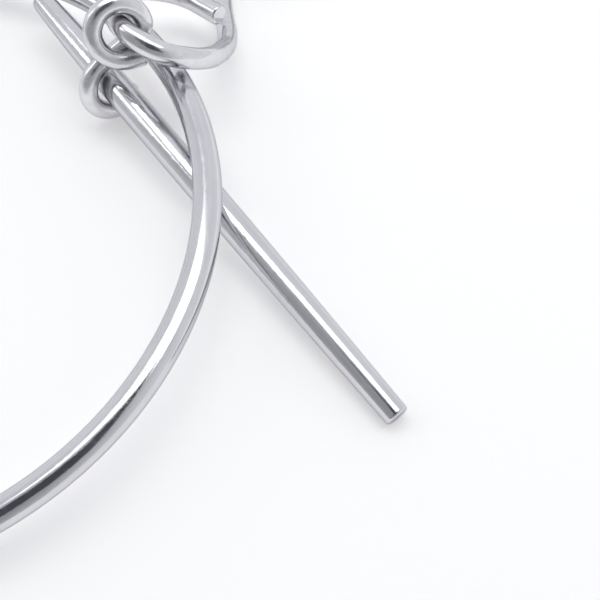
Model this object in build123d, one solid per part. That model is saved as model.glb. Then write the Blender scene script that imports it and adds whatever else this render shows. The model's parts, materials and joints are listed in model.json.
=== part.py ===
from build123d import *
import math
import os

# Four loose pieces of polished silver wire and rod lying interlocked on a table:
# a large hoop, a straight tapered rod under its rim, a small S-shaped coupling link
# whose two eyes hold the rod and the eye link, and the eye link resting over the rim.
# X to the right, Y away, Z up; lengths in millimetres. Every position below is taken from
# the point of the table under the middle of the hoop; the whole assembly is then moved so
# that the origin sits at the middle of the underside of its bounding box.

# large hoop
HOOP_WIRE = 2.80            # wire diameter
HOOP_RADIUS = 33.22         # centreline radius
HOOP_LIFT_DEG = 4.07        # the right side is propped up on the rod

# straight rod
ROD_TIP = Vector(50.77, -18.87, 1.22)   # centre of the flat end face
ROD_HEADING_DEG = 128.70    # from the tip towards the far end, seen from above
ROD_RISE_DEG = 3.50
ROD_LENGTH = 59.7
ROD_TIP_DIA = 2.40
ROD_FAR_DIA = 2.30
ROD_BELLY_DIA = 3.22
ROD_BELLY_AT = 40.0         # distance of the thickest place from the tip
ROD_SHOULDER = 9.0          # distance from the tip where the end taper fades out
ROD_SHOULDER_DIA = 2.72
ROD_NECK = 4.8              # length of the quicker taper at the far end
ROD_NECK_DIA = 2.78
TIP_ROUNDING = 0.30
FAR_ROUNDING = 1.00

# coupling link: one wire, a coiled eye round the eye link and a second eye round the rod
LINK_WIRE = 1.90
UPPER_EYE = Vector(24.180, 17.431, 10.854)
UPPER_EYE_NORMAL = Vector(0.3720, -0.8423, 0.3902)
UPPER_EYE_RADIUS = 2.66     # centreline
UPPER_EYE_START = -50.0     # blunt cut end, degrees up from the right
UPPER_EYE_TURN = 315.0
UPPER_EYE_PITCH = 1.83      # coil advance per turn, away from the normal
UPPER_EYE_STEPS = 7
CUT_END_REACH = 1.12        # the cut end is sprung a little outwards
LOWER_EYE_FROM_TIP = 45.44  # along the rod
LOWER_EYE_RADIUS = 2.93
LOWER_EYE_START = 72.0      # degrees from the outer side of the rod, over its top
LOWER_EYE_TURN = 220.0
LOWER_EYE_LEAN = (-0.80, -0.50, 0.10, 0.60, 0.75, -0.60)    # each corner, towards the tip

# eye link: one wire, a tilted oval eye, a straight shank and a flat eye at the far end
EYE_WIRE = 2.20
EYE_CENTRE = Vector(28.564, 22.636, 6.393)
EYE_LONG_AXIS = Vector(-0.2715, -0.7958, 0.5413)
EYE_SHORT_AXIS = Vector(0.8570, -0.4558, -0.2404)
EYE_LONG = 8.80             # semi-axes of the corner polygon of the oval
EYE_SHORT = 6.28
EYE_START = 160.0           # cut end, degrees round the oval
EYE_TURN = 310.0
EYE_STEPS = 7
LIFT_DIRECTION = Vector(0.1336, -0.6700, 0.7303)
END_LIFT = 4.30             # the cut end is sprung up over the shank
SECOND_LIFT = 1.90
LEAVING_DROP = 0.90         # the wire dips towards the shank as it leaves the oval
SHANK_START = Vector(32.97, 29.90, 1.20)
FLAT_EYE_CENTRE = Vector(38.56, 41.86, 1.20)
FLAT_EYE_SHORT = 6.20       # semi-axes of the corner polygon, X and Y
FLAT_EYE_LONG = 7.77
FLAT_EYE_START = 190.0
FLAT_EYE_TURN = -318.0
FLAT_EYE_STEPS = 8

CORNER_SHARE = 0.45         # share of the shorter neighbouring run used up by each bend
WIRE_END_ROUNDING = 0.25


def wire_path(corners):
    """Straight runs joined by tangent arcs, each as large as its neighbours allow."""
    radii = []
    for before, corner, after in zip(corners, corners[1:], corners[2:]):
        into, out = corner - before, after - corner
        turn = math.radians(into.get_angle(out))
        run = min(into.length, out.length)
        radii.append(CORNER_SHARE * run / math.tan(turn / 2))
    return FilletPolyline(*corners, radius=radii)


def wire_body(path, diameter):
    """Round wire swept along a path, its two cut ends slightly rounded."""
    start = Plane(origin=path @ 0, z_dir=path % 0)
    body = sweep(start * Circle(diameter / 2), path=path)
    ends = [edge for edge in body.edges().filter_by(GeomType.CIRCLE)
            if (edge.arc_center - (path @ 0)).length < WIRE_END_ROUNDING
            or (edge.arc_center - (path @ 1)).length < WIRE_END_ROUNDING]
    return fillet(ends, WIRE_END_ROUNDING)


def make_hoop():
    tilt = Location((0, 0, hoop_height()), (0, -HOOP_LIFT_DEG, 0))
    return tilt * Torus(HOOP_RADIUS, HOOP_WIRE / 2)


def hoop_height():
    """Height of the middle of the hoop when its left side touches the table."""
    return HOOP_WIRE / 2 + HOOP_RADIUS * math.sin(math.radians(HOOP_LIFT_DEG))


def rod_direction():
    """Unit vector from the flat tip to the far end."""
    heading, rise = math.radians(ROD_HEADING_DEG), math.radians(ROD_RISE_DEG)
    return Vector(math.cos(heading) * math.cos(rise), math.sin(heading) * math.cos(rise),
                  math.sin(rise))


def make_rod():
    neck = ROD_LENGTH - ROD_NECK
    side = Spline((ROD_TIP_DIA / 2, 0), (ROD_SHOULDER_DIA / 2, ROD_SHOULDER),
                  (ROD_BELLY_DIA / 2, ROD_BELLY_AT), (ROD_NECK_DIA / 2, neck),
                  (ROD_FAR_DIA / 2, ROD_LENGTH))
    outline = Polyline((ROD_FAR_DIA / 2, ROD_LENGTH), (0, ROD_LENGTH), (0, 0), (ROD_TIP_DIA / 2, 0))
    rod = revolve(Plane.XZ * make_face([side, outline]), Axis.Z)
    rims = rod.edges().filter_by(GeomType.CIRCLE).sort_by(Axis.Z)
    rod = fillet(rims[0], TIP_ROUNDING)
    rims = rod.edges().filter_by(GeomType.CIRCLE).sort_by(Axis.Z)
    rod = fillet(rims[-1], FAR_ROUNDING)
    return Plane(origin=ROD_TIP, z_dir=rod_direction()).location * rod


def coil(centre, right, up, normal, radius, start, turn, shifts):
    """Corners of an open eye, evenly spaced round it, each shifted along the eye's normal."""
    step = turn / (len(shifts) - 1)
    reach = radius / math.cos(math.radians(step / 2))
    corners = []
    for i, shift in enumerate(shifts):
        angle = math.radians(start + i * step)
        corners.append(centre + right * (reach * math.cos(angle)) + up * (reach * math.sin(angle))
                       + normal * shift)
    return corners


def make_coupling_link():
    upper_normal = UPPER_EYE_NORMAL.normalized()
    right = (Vector(1, 0, 0) - upper_normal * upper_normal.X).normalized()
    up = upper_normal.cross(right)
    advance = UPPER_EYE_PITCH * UPPER_EYE_TURN / 360
    shifts = [(0.5 - i / UPPER_EYE_STEPS) * advance for i in range(UPPER_EYE_STEPS + 1)]
    upper = coil(UPPER_EYE, right, up, upper_normal, UPPER_EYE_RADIUS, UPPER_EYE_START,
                 -UPPER_EYE_TURN, shifts)
    out_from_middle = upper[0] - UPPER_EYE - upper_normal * shifts[0]
    upper[0] += out_from_middle * (CUT_END_REACH - 1)
    lower_centre = ROD_TIP + rod_direction() * LOWER_EYE_FROM_TIP
    to_tip = -rod_direction()
    over = (LIFT_DIRECTION - to_tip * LIFT_DIRECTION.dot(to_tip)).normalized()
    lower = coil(lower_centre, over.cross(to_tip), over, to_tip, LOWER_EYE_RADIUS,
                 LOWER_EYE_START, LOWER_EYE_TURN, LOWER_EYE_LEAN)
    return wire_body(wire_path(upper + lower), LINK_WIRE)


def make_eye_link():
    corners = []
    lifts = {0: END_LIFT, 1: SECOND_LIFT, EYE_STEPS: -LEAVING_DROP}
    for i in range(EYE_STEPS + 1):
        angle = math.radians(EYE_START + i * EYE_TURN / EYE_STEPS)
        corners.append(EYE_CENTRE + EYE_LONG_AXIS * (EYE_LONG * math.cos(angle))
                       + EYE_SHORT_AXIS * (EYE_SHORT * math.sin(angle))
                       + LIFT_DIRECTION * lifts.get(i, 0))
    corners.append(SHANK_START)
    for i in range(FLAT_EYE_STEPS + 1):
        angle = math.radians(FLAT_EYE_START + i * FLAT_EYE_TURN / FLAT_EYE_STEPS)
        corners.append(FLAT_EYE_CENTRE + Vector(FLAT_EYE_SHORT * math.cos(angle),
                                                FLAT_EYE_LONG * math.sin(angle)))
    return wire_body(wire_path(corners), EYE_WIRE)


os.makedirs("parts", exist_ok=True)
pieces = {"large_hoop": make_hoop(), "straight_rod": make_rod(),
          "coupling_link": make_coupling_link(), "eye_link": make_eye_link()}
boxes = [piece.bounding_box() for piece in pieces.values()]
box = boxes[0]
for other in boxes[1:]:
    box = box.add(other)
to_origin = Location((-box.center().X, -box.center().Y, -box.min.Z))
for name, piece in pieces.items():
    export_step(to_origin * piece, f"parts/{name}.step")
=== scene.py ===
import json
import math

import bpy
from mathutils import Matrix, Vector

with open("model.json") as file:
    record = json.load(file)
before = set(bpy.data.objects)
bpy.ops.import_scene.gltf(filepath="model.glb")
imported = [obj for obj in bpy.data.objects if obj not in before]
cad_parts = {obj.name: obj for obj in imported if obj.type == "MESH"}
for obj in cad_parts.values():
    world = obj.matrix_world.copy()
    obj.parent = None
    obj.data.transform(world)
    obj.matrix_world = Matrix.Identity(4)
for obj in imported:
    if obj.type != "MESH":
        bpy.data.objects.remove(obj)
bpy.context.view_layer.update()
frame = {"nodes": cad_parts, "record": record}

MM = 0.001

# Lengths are in metres, apart from those of the silver and the camera's place, in millimetres.

# silver
HOOP_RADIUS = 33.22                     # centreline of the hoop's wire
COOL = (0.72, 0.72, 0.745)
# painted light: the two links get a lighter copy of the same silver, to offset the darker
# reflections that fall on them
LIGHTENED_LINK_TINT = (0.78, 0.78, 0.80)
DEEP_EDGE = (0.58, 0.58, 0.61)          # tint where the metal is seen edge-on
# painted light: the links' lighter copy of the edge tint, for the same reason
LIGHTENED_LINK_EDGE = (0.70, 0.70, 0.72)
DARKER_SHARE = 0.90                     # of the tint, in the darker patches
# painted shade: a dark grey mixed into the colour where wires lie close to other wires and to
# the floor
PAINTED_SHADE_GREY = (0.34, 0.33, 0.33, 1.0)
PAINTED_SHADE_SHARE = 0.34                    # in the tightest places
TIGHT_PLACE_ROUGHNESS = 0.10
TIGHT_REACH = 1.2
HAIRLINE_RUNS = (((0.06, 1.0, 1.0), 26.0), ((1.0, 0.07, 1.0), 22.0),
                 ((1.0, 1.0, 0.05), 24.0), ((0.10, 0.9, 0.2), 30.0))    # stretch, scale
HAIRLINE_WIDTH = 0.012                  # share of the noise's range
MARK_DEPTH = 0.0012
NICK_SCALE = 0.9
NICK_RADII = (0.03, 0.09)               # full depth inside the first, none past the second
DRAWN_STRETCH = (0.05, 1.0, 1.0)
WAVE_STRETCH = (0.35, 1.0, 1.0)
BAND_STRETCH = (0.03, 1.0, 1.0)

# sockets of the colour Mix node
MIX_COLOUR_A = 6
MIX_COLOUR_B = 7
MIX_COLOUR_RESULT = 2

# floor and dark card
CARD_SHADES = ((0.3, (0.90, 0.90, 0.90)), (0.7, (0.925, 0.925, 0.925)))
CARD_GLOW = 0.26                        # keeps the shadows as pale as on a light table
FLOOR_SIZE = (4.0, 4.0)
FLOOR_DROP = 0.00002                    # under the lowest wire
CLOTH_SHADES = ((0.3, (0.050, 0.050, 0.062)), (0.7, (0.085, 0.085, 0.102)))
DARK_CARD_SIZE = (0.27, 0.27)
DARK_CARD_SIDE = (285, 64)              # azimuth, elevation
DARK_CARD_AWAY = 0.34

# room: brightness by how far a direction leans towards the camera's side
SHADY_SIDE = (250, 36)                  # azimuth, elevation
ROOM_SHADES = ((0.0, 0.84), (0.35, 0.72), (0.62, 0.54), (0.85, 0.38))
ROOM_TINT = (0.97, 0.98, 1.02)
MIDDLE = Vector((0.02, -0.005, 0.004))  # what the lights and the dark card face

# camera
CAMERA_PLACE = (33.375, -52.09, 79.32)
CAMERA_ELEVATION = 64.576               # degrees above the table, looking down
LENS = 54.0
SENSOR = 36.0
NEAREST_SEEN = 0.002


# ---------------------------------------------------------------- node helpers

class Nodes:
    """Short calls for building one material's node tree."""

    def __init__(self, name):
        self.material = bpy.data.materials.new(name)
        self.material.use_nodes = True
        self.tree = self.material.node_tree
        self.tree.nodes.clear()

    def add(self, kind, settings=None, values=None):
        node = self.tree.nodes.new(kind)
        for key, value in (settings or {}).items():
            setattr(node, key, value)
        for key, value in (values or {}).items():
            if isinstance(value, bpy.types.NodeSocket):
                self.tree.links.new(value, node.inputs[key])
            else:
                node.inputs[key].default_value = value
        return node

    def object_place(self):
        return self.add("ShaderNodeTexCoord").outputs["Object"]

    def math(self, operation, a, b=0.0):
        return self.add("ShaderNodeMath", {"operation": operation}, {0: a, 1: b}).outputs[0]

    def vector(self, operation, a, b):
        node = self.add("ShaderNodeVectorMath", {"operation": operation}, {0: a, 1: b})
        return node.outputs["Value" if operation == "DOT_PRODUCT" else "Vector"]

    def combine(self, x, y, z):
        return self.add("ShaderNodeCombineXYZ", None, {0: x, 1: y, 2: z}).outputs[0]

    def noise(self, where, scale, detail=2.0, roughness=0.5):
        return self.add("ShaderNodeTexNoise", {"normalize": True},
                        {"Vector": where, "Scale": scale, "Detail": detail,
                         "Roughness": roughness}).outputs["Fac"]

    def remap(self, value, low, high, new_low, new_high):
        return self.add("ShaderNodeMapRange", {"clamp": True},
                        {"Value": value, 1: low, 2: high, 3: new_low, 4: new_high}).outputs[0]

    def ramp(self, value, stops):
        node = self.add("ShaderNodeValToRGB", None, {0: value})
        set_stops(node.color_ramp, stops)
        return node.outputs[0]

    def bump(self, height, distance, **more):
        return self.add("ShaderNodeBump", None, {"Distance": distance * MM, "Height": height,
                                                 "Strength": 1.0, **more}).outputs[0]

    def finish(self, **values):
        """Plug one Principled shader into the output and give the material."""
        inputs = {key.replace("_", " ").title(): value for key, value in values.items()}
        shader = self.add("ShaderNodeBsdfPrincipled", None, inputs)
        self.add("ShaderNodeOutputMaterial", None, {"Surface": shader.outputs[0]})
        return self.material


def set_stops(color_ramp, stops):
    elements = color_ramp.elements
    while len(elements) < len(stops):
        elements.new(0.5)
    for element, (place, colour) in zip(elements, stops):
        element.position = place
        element.color = (*colour, 1.0)


# ---------------------------------------------------------------- polished silver

def along_axes(n, where, origin, axes):
    """Coordinates along three perpendicular unit vectors, in metres."""
    local = n.vector("SUBTRACT", where, tuple(origin))
    return [n.vector("DOT_PRODUCT", local, tuple(axis)) for axis in axes]


def along_hoop(n, where, joint):
    """Millimetre coordinates that run round the hoop, across it and up."""
    axis = Vector(joint["axis"])
    side = Vector((0, 1, 0)).cross(axis).normalized()
    x, y, z = along_axes(n, where, joint["pos_m"], (side, axis.cross(side), axis))
    reach = n.math("SQRT", n.math("ADD", n.math("MULTIPLY", x, x), n.math("MULTIPLY", y, y)))
    turn = n.math("ARCTAN2", y, x)
    return n.combine(n.math("MULTIPLY", turn, HOOP_RADIUS),
                     n.math("MULTIPLY", reach, 1 / MM), n.math("MULTIPLY", z, 1 / MM))


def along_rod(n, where, joint):
    """Millimetre coordinates that run along the rod and across it."""
    axis = Vector(joint["axis"])
    side = axis.cross(Vector((0, 0, 1))).normalized()
    places = along_axes(n, where, joint["pos_m"], (axis, side, side.cross(axis)))
    return n.combine(*(n.math("MULTIPLY", place, 1 / MM) for place in places))


def plain(n, where, joint):
    """Millimetre coordinates of the part itself, for the bent links."""
    return n.vector("MULTIPLY", where, (1 / MM,) * 3)


def hairlines(n, mm):
    """Fine handling scratches in several directions, each kept to patches."""
    marks = None
    for i, (stretch, scale) in enumerate(HAIRLINE_RUNS):
        turned = n.add("ShaderNodeMapping", {"vector_type": "POINT"},
                       {"Vector": mm, "Rotation": (0.5 * i, 0.9 * i, 0.35 + 0.6 * i),
                        "Scale": stretch}).outputs[0]
        field = n.noise(turned, scale, detail=1.0, roughness=0.4)
        from_middle = n.math("ABSOLUTE", n.math("SUBTRACT", field, 0.5))
        hair = n.remap(from_middle, 0.0, HAIRLINE_WIDTH, 1.0, 0.0)
        patch = n.remap(n.noise(mm, 0.55 + 0.2 * i), 0.48, 0.62, 0.0, 1.0)
        hair = n.math("MULTIPLY", hair, patch)
        marks = hair if marks is None else n.math("MAXIMUM", marks, hair)
    return marks


def nicks(n, mm):
    """Small round dents."""
    distance = n.add("ShaderNodeTexVoronoi", {"feature": "F1"},
                     {"Vector": mm, "Scale": NICK_SCALE, "Randomness": 1.0}).outputs["Distance"]
    return n.remap(distance, *NICK_RADII, 1.0, 0.0)


def tight_places(n):
    """1 where wires nearly touch other wires and the floor, 0 in the open: an occlusion measure
    that masks the painted shade.
    """
    openness = n.add("ShaderNodeAmbientOcclusion", {"samples": 8},
                     {"Distance": TIGHT_REACH * MM}).outputs["AO"]
    return n.remap(openness, 0.15, 0.75, 1.0, 0.0)


def silver(name, layout, joint, tint, edge, scratch, wave, lines, gloss):
    """Mirror-polished silver: rolled waviness, lengthwise drawing lines, fine crossed
    handling scratches, small nicks, cloudy patches and painted shade, a dark grey where wires
    lie close to other wires and to the floor."""
    n = Nodes(name)
    mm = layout(n, n.object_place(), joint)
    marks = hairlines(n, mm)
    dents = nicks(n, mm)
    tight = tight_places(n)
    drawn = n.noise(n.vector("MULTIPLY", mm, DRAWN_STRETCH), 9.0, detail=3.0, roughness=0.6)
    waves = n.noise(n.vector("MULTIPLY", mm, WAVE_STRETCH), 0.55, detail=1.5, roughness=0.4)
    bands = n.noise(n.vector("MULTIPLY", mm, BAND_STRETCH), 1.7, detail=2.0, roughness=0.55)
    clouds = n.noise(mm, 0.32, detail=4.0, roughness=0.55)

    mottle = n.math("ADD", n.math("MULTIPLY", clouds, 0.4), n.math("MULTIPLY", bands, 0.6))
    darker = tuple(DARKER_SHARE * channel for channel in tint)
    shade = n.ramp(n.remap(mottle, 0.36, 0.64, 0.0, 1.0), ((0.0, darker), (1.0, tint)))
    # painted shade: the dark grey is mixed in where wires lie close to other wires and to the
    # floor
    colour_with_painted_shade = n.add("ShaderNodeMix", {"data_type": "RGBA"},
                   {"Factor": n.math("MULTIPLY", tight, PAINTED_SHADE_SHARE), MIX_COLOUR_A: shade,
                    MIX_COLOUR_B: PAINTED_SHADE_GREY}).outputs[MIX_COLOUR_RESULT]

    rough = n.math("ADD", n.remap(clouds, 0.35, 0.75, gloss, 2.0 * gloss),
                   n.math("MULTIPLY", n.math("MAXIMUM", marks, dents), scratch))
    rough = n.math("ADD", rough, n.math("MULTIPLY", tight, TIGHT_PLACE_ROUGHNESS))

    relief = n.bump(waves, wave)
    relief = n.bump(drawn, lines, Normal=relief)
    pits = n.math("SUBTRACT", 0.0, n.math("ADD", marks, n.math("MULTIPLY", dents, 2.0)))
    relief = n.bump(pits, MARK_DEPTH, Normal=relief)
    return n.finish(base_color=colour_with_painted_shade, roughness=rough, normal=relief, metallic=1.0,
                    specular_tint=(*edge, 1.0))


FINISHES = {
    "large_hoop": {"layout": along_hoop, "joint": "hoop_over_rod", "tint": COOL,
                   "edge": DEEP_EDGE, "scratch": 0.12, "wave": 0.034, "lines": 0.0030,
                   "gloss": 0.075},
    "straight_rod": {"layout": along_rod, "joint": "coupling_on_rod", "tint": COOL,
                     "edge": DEEP_EDGE, "scratch": 0.14, "wave": 0.036, "lines": 0.0034,
                     "gloss": 0.075},
    # the two links wear the lightened copy of the silver: painted light
    "coupling_link": {"layout": plain, "joint": "coupling_on_rod", "tint": LIGHTENED_LINK_TINT,
                      "edge": LIGHTENED_LINK_EDGE, "scratch": 0.10, "wave": 0.050, "lines": 0.0014,
                      "gloss": 0.150},
    "eye_link": {"layout": plain, "joint": "eyed_wire_in_coupling", "tint": LIGHTENED_LINK_TINT,
                 "edge": LIGHTENED_LINK_EDGE, "scratch": 0.10, "wave": 0.044, "lines": 0.0014,
                 "gloss": 0.110},
}
joints = {joint["name"]: joint for joint in frame["record"]["behaviour"]["joints"]}
for node, look in FINISHES.items():
    material = silver(f"silver_{node}", **{**look, "joint": joints[look["joint"]]})
    for slot in frame["nodes"][node].material_slots:
        slot.material = material


# ---------------------------------------------------------------- floor and dark card

def white_card():
    """Matt white card with a very fine tooth."""
    n = Nodes("white_card")
    tooth = n.noise(n.object_place(), 2500.0, detail=3.0)
    relief = n.bump(tooth, 0.02, Strength=0.2)
    return n.finish(base_color=n.ramp(tooth, CARD_SHADES), roughness=0.9, normal=relief,
                    emission_color=(1.0, 1.0, 1.0, 1.0), emission_strength=CARD_GLOW)


def dark_cloth():
    """Near-black card whose reflection draws the dark streaks."""
    n = Nodes("dark_cloth")
    weave = n.noise(n.object_place(), 400.0, detail=3.0)
    return n.finish(base_color=n.ramp(weave, CLOTH_SHADES), roughness=0.95)


def plane(name, size, centre, toward, material):
    """A flat rectangle centred at a place and facing a point."""
    half_x, half_y = size[0] / 2, size[1] / 2
    mesh = bpy.data.meshes.new(name)
    mesh.from_pydata([(-half_x, -half_y, 0), (half_x, -half_y, 0), (half_x, half_y, 0),
                      (-half_x, half_y, 0)], [], [(0, 1, 2, 3)])
    mesh.materials.append(material)
    card = bpy.data.objects.new(name, mesh)
    card.location = centre
    card.rotation_euler = (Vector(toward) - Vector(centre)).to_track_quat("Z", "Y").to_euler()
    bpy.context.scene.collection.objects.link(card)


def direction(azimuth, elevation):
    """Unit vector; azimuth from +X towards +Y, both in degrees."""
    a, e = math.radians(azimuth), math.radians(elevation)
    return Vector((math.cos(a) * math.cos(e), math.sin(a) * math.cos(e), math.sin(e)))


plane("floor", FLOOR_SIZE, (0, 0, -FLOOR_DROP), (0, 0, 1), white_card())
plane("dark_card", DARK_CARD_SIZE, MIDDLE + direction(*DARK_CARD_SIDE) * DARK_CARD_AWAY, MIDDLE,
      dark_cloth())


# ---------------------------------------------------------------- light

def soft_light(name, azimuth, elevation, distance, size, power):
    """A rectangular light of some watts, facing the middle of the object."""
    light = bpy.data.lights.new(name, "AREA")
    light.shape = "RECTANGLE"
    light.size, light.size_y = size
    light.energy = power
    lamp = bpy.data.objects.new(name, light)
    lamp.location = MIDDLE + direction(azimuth, elevation) * distance
    lamp.rotation_euler = direction(azimuth, elevation).to_track_quat("Z", "Y").to_euler()
    bpy.context.scene.collection.objects.link(lamp)


def studio_world():
    """An even pale room that falls off to shade on the side the camera stands."""
    world = bpy.data.worlds.new("studio")
    bpy.context.scene.world = world
    world.use_nodes = True
    tree = world.node_tree
    coordinate = tree.nodes.new("ShaderNodeTexCoord")
    toward = tree.nodes.new("ShaderNodeVectorMath")
    toward.operation = "DOT_PRODUCT"
    toward.inputs[1].default_value = direction(*SHADY_SIDE)
    tree.links.new(coordinate.outputs["Generated"], toward.inputs[0])
    ramp = tree.nodes.new("ShaderNodeValToRGB")
    tree.links.new(toward.outputs["Value"], ramp.inputs[0])
    set_stops(ramp.color_ramp, [(place, [channel * shade for channel in ROOM_TINT])
                                for place, shade in ROOM_SHADES])
    background = tree.nodes["Background"]
    tree.links.new(ramp.outputs[0], background.inputs["Color"])
    background.inputs["Strength"].default_value = 1.0


soft_light("overhead", azimuth=75, elevation=75, distance=0.75, size=(0.84, 0.34), power=1.6)
soft_light("left_side", azimuth=172, elevation=38, distance=0.9, size=(0.16, 0.5), power=0.40)
studio_world()


# ---------------------------------------------------------------- camera

camera_data = bpy.data.cameras.new("camera")
camera_data.lens = LENS
camera_data.sensor_width = SENSOR
camera_data.clip_start = NEAREST_SEEN
camera = bpy.data.objects.new("camera", camera_data)
camera.location = Vector(CAMERA_PLACE) * MM
camera.rotation_euler = (math.radians(90 - CAMERA_ELEVATION), 0, 0)
bpy.context.scene.collection.objects.link(camera)
bpy.context.scene.camera = camera
bpy.context.scene.view_settings.view_transform = "Standard"
